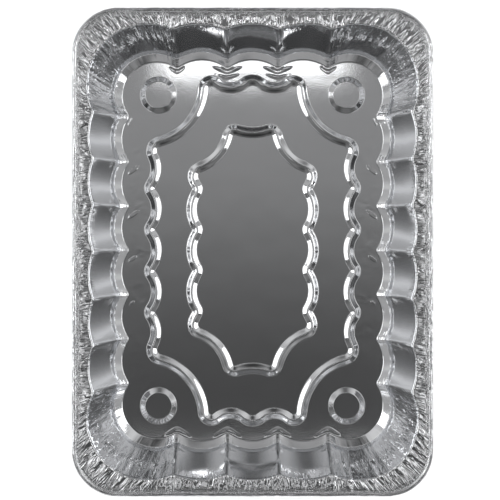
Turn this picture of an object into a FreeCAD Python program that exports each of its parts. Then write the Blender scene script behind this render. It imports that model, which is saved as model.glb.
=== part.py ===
# Foil roasting pan: one sheet of aluminium foil, pressed into a deep fluted tray.
# +X across, +Y along the pan, +Z up, millimetres. The origin is the middle of the underside.
# Outlines run counterclockwise and are measured on the inside of the sheet, seen from above.
import FreeCAD, Part
import math
import os

from FreeCAD import Vector

doc = FreeCAD.newDocument("foil_roasting_pan")

# Driving dimensions, lengths in millimetres and angles in degrees
DIMENSIONS = {
    "rim_width": 300.0,          # over the rolled rim, across
    "rim_length": 406.0,         # over the rolled rim, along
    "rim_corner": 38.0,          # plan radius of the rim's corners
    "flange_height": 65.0,       # from the table to the top of the flange
    "gauge": 0.2,                # thickness of the sheet
    "curl_width": 4.3,           # outside diameter of the rolled rim
    "curl_rise": 1.0,            # height of the rim over the flange
    "curl_gap": 20.0,            # angle left open in the roll
    "curl_facets": 9,            # flats round the roll
    "facet_error": 0.3,          # how far a flat may leave the arc that it stands for
    "flange_width": 14.0,        # from the rim's outside to the wall, at a flute's middle
    "wall_run": 21.3,            # lean of the wall in plan, foot bevel included
    "foot_run": 6.5,             # width of the bevel round the floor
    "foot_rise": 5.0,            # height of that bevel
    "side_flutes": 6,            # flutes along each long side
    "end_flutes": 3,             # flutes along each short side
    "side_margin": 86.2,         # from the rim's end to the last flute of a long side
    "end_margin": 83.7,          # from the rim's side to the last flute of a short side
    "side_scallop_foot": 6.4,    # depth of a long side's flutes at the floor
    "side_scallop_top": 3.8,     # depth of a long side's flutes at the flange
    "end_scallop_foot": 7.4,     # depth of a short side's flutes at the floor
    "end_scallop_top": 4.6,      # depth of a short side's flutes at the flange
    "ridge_round": 3.5,          # radius of the ridge between two flutes
    "corner_bulge_foot": 25.6,   # rise of the corner's arc over its chord, at the floor
    "corner_bulge_top": 33.4,    # rise of the corner's arc over its chord, at the flange
    "corner_pleats": 18,         # gathers round each corner
    "pleat_foot": 0.25,          # half depth of a gather above the foot bevel
    "pleat_top": 0.7,            # half depth of a gather at the flange
    "bead_width": 9.6,           # full width of a pressed bead
    "bead_crest": 1.0,           # width of its flat crest
    "bead_height": 2.0,          # height of beads and bosses over the floor
    "bead_nip": 0.5,             # radius where two scallops of a bead meet, at its foot
    "outer_side_inset": 29.0,    # from the floor's side edge to the outer loop's cusps
    "outer_cusp_margin": 113.2,  # from the floor's end edge to the outer loop's last side cusp
    "outer_side_depth": 6.2,     # depth of the outer loop's side scallops
    "outer_corner_inset": 28.1,  # from the floor's side edge to the outer loop's side corner
    "outer_corner_along": 77.5,  # from the floor's end edge to that corner
    "outer_corner_across": 76.3, # from the floor's side edge to the outer loop's end corner
    "outer_end_inset": 20.0,     # from the floor's end edge to the outer loop's end cusp
    "outer_end_depth": 9.7,      # depth of the outer loop's end scallops
    "outer_diagonal_depth": 14.5, # hollow of the outer loop's diagonals
    "outer_side_round": 4.4,     # foot radius of the outer loop's side corners
    "outer_end_round": 2.4,      # foot radius of the outer loop's end corners
    "outer_cusp_round": 6.5,     # foot radius of the outer loop's end cusp
    "inner_side_inset": 61.7,    # from the floor's side edge to the inner loop's cusps
    "inner_cusp_margin": 114.0,  # from the floor's end edge to the inner loop's last side cusp
    "inner_side_depth": 5.3,     # depth of the inner loop's side scallops
    "inner_corner_along": 91.6,  # from the floor's end edge to the inner loop's side corner
    "inner_corner_inset": 56.7,  # from the floor's side edge to that corner
    "inner_corner_depth": 2.1,   # depth of the short scallop beside that corner
    "inner_corner_across": 87.1, # from the floor's side edge to the inner loop's end corner
    "inner_end_inset": 47.4,     # from the floor's end edge to that corner
    "inner_end_depth": 12.0,     # dip of the inner loop's ends
    "inner_diagonal_depth": 13.6, # hollow of the inner loop's diagonals
    "inner_side_round": 13.7,    # foot radius of the inner loop's side corners
    "inner_end_round": 11.0,     # foot radius of the inner loop's end corners
    "boss_inset_across": 32.2,   # from the floor's side edge to a corner boss
    "boss_inset_along": 31.3,    # from the floor's end edge to a corner boss
    "boss_base": 32.0,           # diameter of a boss at the floor
    "boss_top": 23.5,            # diameter of its flat top
}

sheet = doc.addObject("Spreadsheet::Sheet", "sizes")
for row, (name, value) in enumerate(DIMENSIONS.items(), start=1):
    sheet.set(f"A{row}", name)
    sheet.set(f"B{row}", str(value))
    sheet.setAlias(f"B{row}", name)
# The floor's half width and half length follow from the rim, the flange and the lean
DERIVED = {
    "floor_across": "=rim_width / 2 - flange_width - wall_run",
    "floor_along": "=rim_length / 2 - flange_width - wall_run",
    "boss_across": "=floor_across - boss_inset_across",
    "boss_along": "=floor_along - boss_inset_along",
}
for row, (name, formula) in enumerate(DERIVED.items(), start=len(DIMENSIONS) + 1):
    sheet.set(f"A{row}", name)
    sheet.set(f"B{row}", formula)
    sheet.setAlias(f"B{row}", name)
doc.recompute()


def size(name):
    """A dimension, read from the sheet."""
    return float(getattr(sheet, name))


# Outlines

def bowed(start, end, bulge):
    """The circle through two points whose arc rises by bulge over their chord.

    Its radius is signed: positive where the outline is convex there, negative where it is hollow.
    """
    across = end - start
    chord = across.Length
    radius = (chord * chord / 4 + bulge * bulge) / (2 * bulge)
    outward = Vector(across.y, -across.x, 0) / chord
    return (start + end) / 2 + outward * (bulge - radius), radius


def facing(circle, centre, radius):
    """The outward direction at the point where a circle meets a rounding."""
    return (centre - circle[0]) / (circle[1] - radius)


def rounding(before, after, radius):
    """The centre of the signed radius that joins two circles smoothly, and its two directions."""
    span = after[0] - before[0]
    reach1 = abs(before[1] - radius)
    reach2 = abs(after[1] - radius)
    along = (reach1 ** 2 - reach2 ** 2 + span.Length ** 2) / (2 * span.Length)
    aside = math.sqrt(reach1 ** 2 - along ** 2)
    forward = span / span.Length
    left = Vector(-forward.y, forward.x, 0)
    for side in (aside, -aside):
        centre = before[0] + forward * along + left * side
        first, last = facing(before, centre, radius), facing(after, centre, radius)
        if first.cross(last).z * radius > 0:
            return centre, first, last


def outline(points, bulges, radii):
    """A closed chain of arcs from half of its corner points, turned half round for the rest.

    bulges are for the arcs that start at each point and radii for the corners that they end at.
    Each arc is its centre, its signed radius and the outward directions at its two ends. The
    outline moved outwards by any distance has the same arcs, with that distance on their radii.
    """
    corners = points + [-point for point in points]
    count = len(corners)
    circles = [bowed(corners[i], corners[(i + 1) % count], bulges[i % len(bulges)])
               for i in range(count)]
    joints = [rounding(circles[i], circles[(i + 1) % count], radii[i % len(radii)])
              for i in range(count)]
    arcs = []
    for i, (centre, radius) in enumerate(circles):
        corner, entry, leave = joints[i]
        arcs.append((centre, radius, joints[i - 1][2], entry))
        arcs.append((corner, radii[i % len(radii)], entry, leave))
    return arcs


def on_arc(arc, share, offset, height):
    """The point at a share of an arc, moved outwards by offset."""
    centre, radius, first, last = arc
    turn = share * math.atan2(first.cross(last).z, first.dot(last))
    outward = Vector(first.x * math.cos(turn) - first.y * math.sin(turn),
                     first.x * math.sin(turn) + first.y * math.cos(turn), 0)
    return centre + outward * (radius + offset) + Vector(0, 0, height)


def flats(radius, turn):
    """How many straight flats stand for an arc."""
    widest = 2 * math.acos(1 - min(size("facet_error") / abs(radius), 1))
    return max(2, math.ceil(abs(turn) / widest))


def flats_of(arcs, offset):
    """The number of flats for each arc of an outline that is moved outwards by offset."""
    turns = (math.atan2(first.cross(last).z, first.dot(last)) for _, _, first, last in arcs)
    return [flats(arc[1] + offset, turn) for arc, turn in zip(arcs, turns)]


def run(arcs, counts, offset, height, pleat=0.0):
    """The points of an outline at a height. Past each corner the sheet is folded to and fro."""
    points = []
    for index, (arc, count) in enumerate(zip(arcs, counts)):
        for step in range(count):
            fold = pleat * (-1) ** step if index in gathers and step else 0
            points.append(on_arc(arc, step / count, offset + fold, height))
    return points


def rectangle(inset, height):
    """The points of the rim's rounded rectangle, moved in by inset."""
    across = size("rim_width") / 2 - size("rim_corner")
    along = size("rim_length") / 2 - size("rim_corner")
    quarter = math.pi / 2
    count = flats(size("rim_corner"), quarter)
    points = []
    for number, (x, y) in enumerate(((1, 1), (-1, 1), (-1, -1), (1, -1))):
        for step in range(count + 1):
            turn = quarter * (number + step / count)
            reach = size("rim_corner") - inset
            points.append(Vector(x * across + reach * math.cos(turn),
                                 y * along + reach * math.sin(turn), height))
    return points


# Solids from outlines

def ring(points):
    """The closed run of straight edges through points."""
    return Part.makePolygon(points + points[:1])


def patch(a, b, c, d):
    """A face over four points: plane where they allow it, ruled where they don't."""
    twist = (b - a).cross(d - a).dot(c - a)
    if abs(twist) < 1e-6:
        return Part.Face(ring([a, b, c, d]))
    return Part.makeRuledSurface(Part.makeLine(a, b), Part.makeLine(d, c))


def between(one, other):
    """The faces that join two rings: one level face, or a patch for each pair of edges."""
    if abs(one[0].z - other[0].z) < 1e-9:
        return [Part.makeFace([ring(one), ring(other)], "Part::FaceMakerBullseye")]
    ends = zip(one, one[1:] + one[:1], other[1:] + other[:1], other)
    return [patch(*corners) for corners in ends]


def skin(rings):
    """The faces of one side of the sheet, through rings from the rim to a level middle."""
    faces = [Part.Face(ring(rings[-1]))]
    for one, other in zip(rings, rings[1:]):
        faces += between(one, other)
    return faces


def feature(name, shape):
    """A shape as an object of the document."""
    result = doc.addObject("Part::Feature", name)
    result.Label = name
    result.Shape = shape
    return result


# The wall: flutes between ridges, gathered corners, and a bevel at the foot

def wall_outline(share):
    """The wall's outline at a share of its lean: 0 at the floor's edge and 1 at the flange."""
    inset = size("flange_width") + size("wall_run") * (1 - share)
    side, end, corner = (
        size(name + "_foot") + (size(name + "_top") - size(name + "_foot")) * share
        for name in ("side_scallop", "end_scallop", "corner_bulge"))
    side_x = size("rim_width") / 2 - inset - side
    end_y = size("rim_length") / 2 - inset - end
    last_y = size("rim_length") / 2 - size("side_margin")
    last_x = size("rim_width") / 2 - size("end_margin")
    side_count = int(size("side_flutes"))
    end_count = int(size("end_flutes"))
    points = [Vector(side_x, last_y * (2 * k / side_count - 1), 0) for k in range(side_count + 1)]
    points += [Vector(last_x * (1 - 2 * k / end_count), end_y, 0) for k in range(end_count + 1)]
    bulges = [side] * side_count + [corner] + [end] * end_count + [corner]
    return outline(points, bulges, [-size("ridge_round")] * len(points))


gauge = size("gauge")
foot, knee, top = (wall_outline(share) for share in (0, size("foot_run") / size("wall_run"), 1))
corner_arc = 2 * int(size("side_flutes"))
half = len(foot) // 2
gathers = (corner_arc, half - 2, half + corner_arc, 2 * half - 2)
pleats = int(size("corner_pleats"))
wall_counts = [2 * pleats if index in gathers else count
               for index, count in enumerate(flats_of(foot, 0))]
bevel = math.atan2(size("foot_rise") - gauge, size("foot_run"))
slope = math.atan2(size("flange_height") - size("foot_rise"), size("wall_run") - size("foot_run"))


def mitre(before, after):
    """How far out and down the sheet's outer corner lies from its inner one, between two slopes."""
    middle = (before + after) / 2
    reach = gauge / math.cos((after - before) / 2)
    return reach * math.sin(middle), reach * math.cos(middle)


foot_out, foot_down = mitre(0, bevel)
knee_out, knee_down = mitre(bevel, slope)
top_out = gauge / math.sin(slope) - gauge / math.tan(slope)
wall_inside = [
    run(top, wall_counts, 0, size("flange_height"), size("pleat_top")),
    run(knee, wall_counts, 0, size("foot_rise"), size("pleat_foot")),
    run(foot, wall_counts, 0, gauge)]
wall_outside = [
    run(top, wall_counts, top_out, size("flange_height") - gauge, size("pleat_top")),
    run(knee, wall_counts, knee_out, size("foot_rise") - knee_down, size("pleat_foot")),
    run(foot, wall_counts, foot_out, gauge - foot_down)]


# The rolled rim: the sheet runs out along the flange, up over the roll and round beneath it

curl_radius = size("curl_width") / 2
flange_over = curl_radius - size("curl_rise")
edge_turn = math.radians(size("curl_gap")) - math.pi - math.asin(flange_over / curl_radius)


def roll(radius, over):
    """Rings round the roll from the sheet's edge to the flange, over its middle by that height."""
    flange_turn = math.pi - math.asin(over / radius)
    height = size("flange_height") - flange_over
    steps = int(size("curl_facets"))
    turns = [edge_turn + (flange_turn - edge_turn) * step / steps for step in range(steps + 1)]
    return [rectangle(curl_radius - radius * math.cos(turn), height + radius * math.sin(turn))
            for turn in turns]


roll_outside = roll(curl_radius, flange_over)
roll_inside = roll(curl_radius - gauge, flange_over - gauge)


# Pressed beads: two loops of scallops, raised in the pan and hollow beneath

def loop_outline(cusps, corner, end, tip, bulges, radii):
    """A bead loop's outline: side cusps, a corner, an end corner and the middle of the end.

    bulges are for the side, the scallop beside the corner, the diagonal and the end, and radii
    for the side cusps, the corner, the end corner and the middle, which may be left out.
    """
    side_bulge, last_bulge, diagonal, end_bulge = bulges
    nip, corner_round, end_round, tip_round = radii
    pitch = cusps[1] * 2 / 3
    points = [Vector(corner[0], -corner[1], 0)]
    points += [Vector(cusps[0], pitch * (k - 1.5), 0) for k in range(4)]
    points += [Vector(corner[0], corner[1], 0), Vector(end[0], end[1], 0)]
    rises = [last_bulge] + [side_bulge] * 3 + [last_bulge, diagonal]
    turns = [nip] * 4 + [corner_round, end_round]
    if tip:
        points.append(Vector(0, tip, 0))
        rises.append(end_bulge)
        turns.append(tip_round)
    points.append(Vector(-end[0], end[1], 0))
    rises += [end_bulge, diagonal]
    turns += [end_round, corner_round]
    return outline(points, rises, turns)


floor_across = size("floor_across")
floor_along = size("floor_along")
outer_loop = loop_outline(
    (floor_across - size("outer_side_inset"), floor_along - size("outer_cusp_margin")),
    (floor_across - size("outer_corner_inset"), floor_along - size("outer_corner_along")),
    (floor_across - size("outer_corner_across"), floor_along - size("outer_end_inset")),
    floor_along - size("outer_end_inset"),
    (-size("outer_side_depth"), -size("outer_side_depth"),
     -size("outer_diagonal_depth"), -size("outer_end_depth")),
    (size("bead_nip"), size("outer_side_round"), size("outer_end_round"),
     size("outer_cusp_round")))
inner_loop = loop_outline(
    (floor_across - size("inner_side_inset"), floor_along - size("inner_cusp_margin")),
    (floor_across - size("inner_corner_inset"), floor_along - size("inner_corner_along")),
    (floor_across - size("inner_corner_across"), floor_along - size("inner_end_inset")),
    None,
    (size("inner_side_depth"), size("inner_corner_depth"),
     -size("inner_diagonal_depth"), -size("inner_end_depth")),
    (-size("bead_nip"), size("inner_side_round"), size("inner_end_round"), None))


def bead(arcs, side, height):
    """Four rings over a bead, foot to foot, from its outline and on the side that it lies."""
    width, crest, rise = size("bead_width"), size("bead_crest"), size("bead_height")
    near, far = (width - crest) / 2, (width + crest) / 2
    counts = flats_of(arcs, side * width / 2)
    section = ((0, height), (near, height + rise), (far, height + rise), (width, height))
    return [run(arcs, counts, side * offset, level) for offset, level in section]


def beads(height):
    """Rings over both loops, from the floor's edge inwards."""
    return bead(outer_loop, 1, height)[::-1] + bead(inner_loop, -1, height)


# One sheet: the skin that faces up, the skin that faces down, and the edge hidden in the roll

upper = skin(roll_outside + wall_inside + beads(gauge))
lower = skin(roll_inside + wall_outside + beads(0))
shell = Part.Shell(upper + lower + between(roll_outside[0], roll_inside[0]))
shell.sewShape()
sheet_metal = Part.Solid(shell)
if sheet_metal.Volume < 0:
    sheet_metal.reverse()
sheet_metal = feature("pressed_sheet", sheet_metal)


# Four corner bosses, raised in the pan and hollow beneath

def boss(name, x, y, height):
    """A low cone over or under the sheet."""
    cone = doc.addObject("Part::Cone", name)
    cone.Label = name
    cone.setExpression("Radius1", "sizes.boss_base / 2")
    cone.setExpression("Radius2", "sizes.boss_top / 2")
    cone.setExpression("Height", "sizes.bead_height")
    cone.setExpression("Placement.Base.x", f"{x} * sizes.boss_across")
    cone.setExpression("Placement.Base.y", f"{y} * sizes.boss_along")
    cone.setExpression("Placement.Base.z", height)
    return cone


corners = ((1, 1), (-1, 1), (-1, -1), (1, -1))
raised = doc.addObject("Part::MultiFuse", "raised")
raised.Shapes = [sheet_metal] + [boss(f"boss_{number}", x, y, "sizes.gauge")
                                 for number, (x, y) in enumerate(corners, start=1)]
hollows = doc.addObject("Part::MultiFuse", "hollows")
hollows.Shapes = [boss(f"hollow_{number}", x, y, "0")
                  for number, (x, y) in enumerate(corners, start=1)]
pan = doc.addObject("Part::Cut", "foil_pan")
pan.Label = "foil_pan"
pan.Base = raised
pan.Tool = hollows
doc.recompute()

for item in doc.Objects:
    if {"Invalid", "Error"} & set(item.State):
        raise RuntimeError(f"{item.Label} did not build: {item.State}")
if pan.Shape.isNull() or not pan.Shape.isValid() or len(pan.Shape.Solids) != 1:
    raise RuntimeError("foil_pan is not one valid solid")

os.makedirs("parts", exist_ok=True)
pan.Shape.exportStep("parts/foil_pan.step")
print("foil_pan", round(pan.Shape.Volume), "mm3", pan.Shape.BoundBox)
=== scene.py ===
"""Foil roasting pan, dressed for the eye: one sheet of pressed aluminium foil.

The file is laid out as an add-on. The panel's sizes are the pan's own, in metres, and every
shape is worked out as whole arrays in millimetres. +X is across the pan, +Y along it and +Z up.
"""
import math
from typing import NamedTuple

import bpy
import numpy as np
from bpy.props import FloatProperty, FloatVectorProperty, IntProperty, PointerProperty, StringProperty
from mathutils.geometry import delaunay_2d_cdt
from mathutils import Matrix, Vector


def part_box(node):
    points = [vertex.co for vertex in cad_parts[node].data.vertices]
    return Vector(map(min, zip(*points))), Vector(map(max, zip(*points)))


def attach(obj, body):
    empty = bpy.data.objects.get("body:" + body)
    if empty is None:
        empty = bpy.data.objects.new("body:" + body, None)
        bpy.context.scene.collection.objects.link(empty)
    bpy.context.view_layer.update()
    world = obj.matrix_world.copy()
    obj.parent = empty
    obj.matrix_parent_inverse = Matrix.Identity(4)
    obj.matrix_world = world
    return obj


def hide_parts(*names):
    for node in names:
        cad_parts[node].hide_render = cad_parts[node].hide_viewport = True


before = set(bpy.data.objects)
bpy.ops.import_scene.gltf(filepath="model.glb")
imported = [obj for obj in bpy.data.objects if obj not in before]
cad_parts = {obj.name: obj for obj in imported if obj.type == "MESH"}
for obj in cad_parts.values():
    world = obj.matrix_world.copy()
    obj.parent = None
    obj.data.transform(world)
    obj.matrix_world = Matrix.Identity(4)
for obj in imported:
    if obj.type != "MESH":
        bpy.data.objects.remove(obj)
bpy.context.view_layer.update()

bl_info = {
    "name": "Foil roasting pan",
    "version": (1, 0, 0),
    "blender": (4, 5, 0),
    "location": "3D View > Sidebar > Foil pan",
    "description": "Builds a pressed aluminium foil roasting pan and a plain studio round it",
    "category": "Add Mesh",
}

MM = 0.001
NODE = "foil_pan"
(_, _, LOW_Z), (HIGH_X, HIGH_Y, HIGH_Z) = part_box(NODE)

# How finely the surfaces are worked out: columns along the outline and rows down the section
SIDE_COLUMNS, END_COLUMNS, RIDGE_COLUMNS, CORNER_COLUMNS = 26, 28, 4, 104
STRAIGHT_ROWS, BEND_ROWS = (6, 1, 8, 3, 1), (1, 1, 2, 2)
END_ROW = 0.05                      # share of a straight stretch that its end rows take
CURL_ROWS, CURL_ROW_POWER = 11, 1.15        # rows round the roll, closer together at its start
CURL_MAP_STEP = 1.4                 # between those rows in the map of the section, in mm
BEAD_PITCH, CUSP_COLUMNS, CUSP_RADIUS = 2.4, 6, 1.0     # a cusp's round is at most that radius
BOSS_COLUMNS, WELT_COLUMNS = 48, 24
BOSS_BEND_ROWS = (1.6, 1, 0.5, 0, -0.5, -1)     # shares of the bend's half length
FLAT_PITCH, FLAT_CLEARANCE, HEXAGON = 8.0, 0.45, 0.866  # pitch in mm, and two shares of it
TINY = 1e-6                         # what two equal lengths may differ by, in mm
MERGED = 1e-7                       # plan points closer than this become one, in mm
NOT_ZERO = 1e-12                    # added to a divisor that may be zero
FOLDS_AT_ONCE, POINTS_AT_ONCE = 60, 500         # worked out together, to save memory

# Small sizes of the section, in mm but for the roll's gap and shape
BEND_REACHES = (0.3, 0.3, 0.9, 0.3)     # how far from a bend its rounding starts
SHOULDER_WIDTH, SHOULDER_DROP = 0.9, 0.4    # the sloping strip between flange and wall
RIDGE_ROUND_TOP = 6.0               # radius of the ridges at the flange
FLOOR_LIP = 1.2                     # level strip between the wall's grid and the floor's mesh
CURL_GAP = 20                       # degrees left open in the roll
CURL_POWER, CURL_SQUARING = 3.0, 0.7        # how square it is (2 is round), from how many radians
CURL_WAVES, CURL_WAVE_COUNTS, CURL_WAVE_RISES = 9, (12, 90), (0.02, 0.06)
CURL_LESS, CURL_WANDER = 0.12, 0.8  # what the waves' height is lowered by, and its share
BEAD_APRON, BEAD_FOOT, BEAD_CREST = 0.4, 0.8, 1.3       # beyond the foot, foot and half crest
BEAD_CREST_ROWS = (1, 0.6, 0.2)     # shares of the half crest
BOSS_BEND = 0.4                     # half length of a boss's rounded bends

# Where folds and creases fade in: the distance in mm with none of them and that with all.
# They are measured from what the name says, or else down the section from the flange's bend.
FOLDS_FROM_RIM, FOLDS_FROM_FLOOR = (1.5, 4.0), (1.4, 4.4)
CRINKLES_FROM_RIM, CREASES_FROM_FLOOR = (2.0, 3.5), (1.4, 3.4)
FLANGE_CRINKLES, CORNER_CRINKLES = (1.5, 0.0), (58.0, 52.0)
UPPER_CRINKLES, LOWER_CRINKLES = (14.0, 4.0), (25.0, 40.0)
ROLLED_FROM_RIM, FOOT_CREASES = (3.5, 3.0), (55.0, 60.0)
BUCKLES_FROM_RIDGE, WELTS_FROM_BEAD = (24.0, 4.0), (1.4, 2.9)
CORNER_SHARE, UPPER_SHARE, LOWER_SHARE, LEAST_CRINKLE = 0.75, 0.25, 0.5, 0.05
FOOT_SHARE, CURL_CRINKLE, END_BUCKLES, END_ZONE = 0.6, 0.1, 0.2, 10.0
CRINKLE_SPREAD, FOOT_SPREAD = 3.5, 6.0      # how far from a ridge its creases reach, in mm
CORNER_BLUR = 9                     # columns over which the corners' crinkles fade out


class Folds(NamedTuple):
    """A family of folds: the bounds between which places, sizes and angles are drawn, in mm.

    down is the place down the section, width half the width, reach half the length, angle the
    turn from straight down in radians, curve the bend, and rise the height or a share of it.
    """
    down: tuple
    width: tuple
    reach: tuple
    angle: tuple
    curve: tuple
    rise: tuple


# Families with their pitch. The rise is a share of the corner gather or the flange crinkle.
CORNER_FOLDS = (
    (4.2, Folds((8, 26), (1.6, 2.8), (14, 40), (-0.12, 0.12), (-0.002, 0.002), (0.36, 0.9))),
    (2.2, Folds((8, 26), (0.9, 1.6), (8, 26), (-0.12, 0.12), (-0.002, 0.002), (0.22, 0.55))),
    (2.2, Folds((-6, 1), (0.9, 1.5), (3, 7), (-0.3, 0.3), (0, 0), (0.4, 1))),
    (1.6, Folds((2, 22), (0.9, 1.5), (4, 11), (-0.3, 0.3), (-0.01, 0.01), (0.25, 0.7))),
    (1.6, Folds((20, 42), (0.9, 1.5), (4, 11), (-0.3, 0.3), (-0.01, 0.01), (0.25, 0.7))),
    (1.4, Folds((38, 60), (0.9, 1.5), (4, 11), (-0.3, 0.3), (-0.01, 0.01), (0.25, 0.7))))
FLANGE_FOLDS = (
    (2.7, Folds((-8, -3), (1.0, 1.6), (3, 6), (-0.7, 0.7), (-0.02, 0.02), (0.3, 1))),
    (6, Folds((-8, 0), (1.5, 3), (4, 8), (-1.2, 1.2), (-0.03, 0.03), (0.2, 0.8))))
# Families with their spread about a ridge and their number there. The rise is in mm.
RIDGE_FOLDS = (
    (4, 14, Folds((44, 62), (0.9, 2.0), (2, 7), (-1.5, 1.5), (-0.05, 0.05), (0.08, 0.28))),
    (3, 4, Folds((0, 30), (1.5, 3.0), (6, 16), (-0.3, 0.3), (-0.01, 0.01), (0.08, 0.25))),
    (3, 16, Folds((28, 66), (0.6, 1.0), (2, 5), (1.2, 1.9), (-0.06, 0.06), (0.06, 0.18))),
    (4.5, 14, Folds((60, 70), (1.2, 2.0), (2.5, 6), (1.15, 2.0), (-0.05, 0.05), (0.03, 0.12))),
    (7, 8, Folds((2, 14), (0.8, 1.6), (3, 9), (-1.3, 1.3), (-0.05, 0.05), (0.03, 0.14))))
FOLD_JITTER = 0.45                  # how far a fold may lie from its place, as a share of pitch
# Waves round the outline: how many, the crests of one, radians per mm down, and rise in mm
WAVES, WAVE_COUNTS, WAVE_LEAN, WAVE_RISES = 10, (9, 48), 0.08, (0.02, 0.07)


class Loop(NamedTuple):
    """A bead loop. Its places are distances in from the floor's side and end edges, in mm."""
    cusps: tuple                    # the line of the side's cusps, and the last of them
    corner: tuple
    end: tuple
    tip: bool                       # whether the end has a cusp in its middle
    bulges: tuple                   # of a side arc, the last side arc, the diagonal and the end
    rounds: tuple                   # of the cusps, the corner, the end corner and the tip


SIDE_CUSPS = 4
OUTER_LOOP = Loop((29.0, 113.2), (28.1, 77.5), (76.3, 20.0), True,
                  (-6.2, -6.2, -14.5, -9.7), (0.5, 4.4, 2.4, 6.5))
INNER_LOOP = Loop((61.7, 114.0), (56.7, 91.6), (87.1, 47.4), False,
                  (5.3, 2.1, -13.6, -12.0), (-0.5, 13.7, 11.0, None))


class Welt(NamedTuple):
    """A bent welt round the foot of an end wall's ridge, in mm."""
    inset: float                    # from the ridge's foot to its tip
    sag: float                      # how far its ends fall back, as a share of its reach
    width: float                    # half its width
    rise: float
    way: int                        # which way along Y its long slope faces


NEAR_WELT = Welt(5.6, 0.6, 2.0, 0.34, 1)
FAR_WELT, INNER_WELT = Welt(4.3, 0.33, 2.2, 0.3, -1), Welt(9.8, 0.25, 1.9, 0.2, -1)
WELT_REACHES, CORNER_REACH = (11.5, 13.5), 0.6      # half length, and its share beside a corner
INNER_SHORTER, INNER_SHIFT = 1.5, 1.0               # how much the second welt is shorter and off
WELT_ROWS = (-1.12, -1.0, -0.9, 0.0, 0.25, 0.4, 0.9, 1.0, 1.12)
WELT_PROFILE = ((-1, 0.3, 0.95), (0, 1, 0))         # places across it, and the heights there
WELT_END, WELT_LEAST, WELT_TIP = 1.12, 0.3, 0.02    # past its end, least half width, tip's round
OVAL_RISE = 0.3
OVAL_RINGS = ((0.2, 0.0), (0.0, 0.0), (-0.45, 1.0), (-0.65, 1.0))  # distance outwards and rise
OVAL_PLACES = (-70, -9, 30)         # along the pan, for the two sizes below
OVAL_HALVES, OVAL_RADII = (0.6, 2.4, 4.5), (1.1, 1.6, 1.9)
OVAL_ANGLES = (34, 42)              # degrees
OVAL_ACROSS, OVAL_STRETCH, OVAL_ALONG = 2.6, 0.35, 7.3      # from the ridge's foot
LEAF_PLACE, LEAF_HALF, LEAF_RADIUS, LEAF_LEAN = (1.8, 4), 3, 1, 0.45    # at a far corner's ridge
NEAR_CORNER = 5                     # a ridge this close to the last one stands beside a corner

# Lengths of the finish's patterns in metres, and the heights of their bumps
CRINKLE_PITCH, CRINKLE_LENGTH, CRINKLE_BUMP, CRINKLE_STRENGTH = 0.0021, 0.009, 0.0007, 0.9
CREASE_PITCH, CREASE_LENGTH, CREASE_BUMP = 0.0015, 0.02, 0.0005
BUCKLE_LENGTH, BUCKLE_BUMP = 0.013, 0.0002
WAVE_LENGTH, WAVE_BUMP = 0.035, 0.0001
HAZE_LENGTH, HAZE_BUMP, HAZE_STRENGTH = 0.0009, 0.0002, 0.06

# The room's brightness: the ceiling by a direction's Y part, the pale walls by its Z part, and
# the glow at the sides and at the far corners by its X part times its Y part
CEILING_LEVELS = ((-1.0, 0.05), (1.0, 0.05), (-0.76, 0.04), (-0.67, 0.22), (-0.61, 0.10),
                  (-0.5, 0.07), (-0.35, 0.11), (-0.2, 0.09), (-0.13, 0.085), (-0.08, 0.12),
                  (-0.03, 0.195), (0.036, 0.335), (0.09, 0.37), (0.13, 0.36), (0.165, 0.18),
                  (0.3, 0.2), (0.6, 0.24), (0.75, 0.05))
WALL_LEVELS = ((-1.0, 0.4), (1.0, 0.0), (0.42, 0.42), (0.6, 0.0))
GLOW_ACROSS = ((-1.0, 0.0), (1.0, 0.0), (0.3, 0.0), (0.5, 1.0), (0.65, 1.0), (0.8, 0.0))
GLOW_ALONG = ((-1.0, 0.0), (1.0, 0.0), (-0.42, 0.18), (-0.27, 0.05), (0.0, 0.3), (0.1, 0.7),
              (0.3, 0.36))
FAN_ACROSS = ((-1.0, 0.0), (1.0, 0.0), (0.06, 0.0), (0.3, 1.0), (0.5, 1.0))
FAN_ALONG = ((-1.0, 0.0), (1.0, 0.0), (0.36, 0.0), (0.52, 0.45), (0.68, 0.45), (0.78, 0.0))
CAMERA_SHIFT = (-0.0028, -0.0539)


class Light(NamedTuple):
    """A soft light: its place and size in metres, and how bright it looks."""
    place: tuple
    size: tuple                     # across the pan and along it
    brightness: float
    level: bool                     # whether it faces straight down, or else the pan


END_LIGHTS = {"far_strip": Light((0, 0.344, 1.5), (0.38, 0.054), 1.8, True),
              "near_strip": Light((0, -0.48, 1.5), (0.9, 0.1), 0.55, True)}
SIDE_LIGHTS = {"strip": Light((0.39, -0.05, 1.5), (0.12, 0.76), 0.4, True),
               "panel": Light((0.56, -0.03, 1.5), (0.2, 1.2), 1.0, True),
               "softbox": Light((1.15, 0.05, 0.96), (0.37, 1.0), 2.5, False)}
FLOOR_LIGHT = Light((0, 0, 3.5), (5, 5), 2.2, True)
FLOOR_HALF, PAPER_ROUGHNESS = 3.0, 0.9


def length(millimetres, name, description):
    """A size in metres, given in millimetres."""
    return FloatProperty(name=name, description=description, default=millimetres * MM,
                         unit="LENGTH", precision=5)


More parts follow.
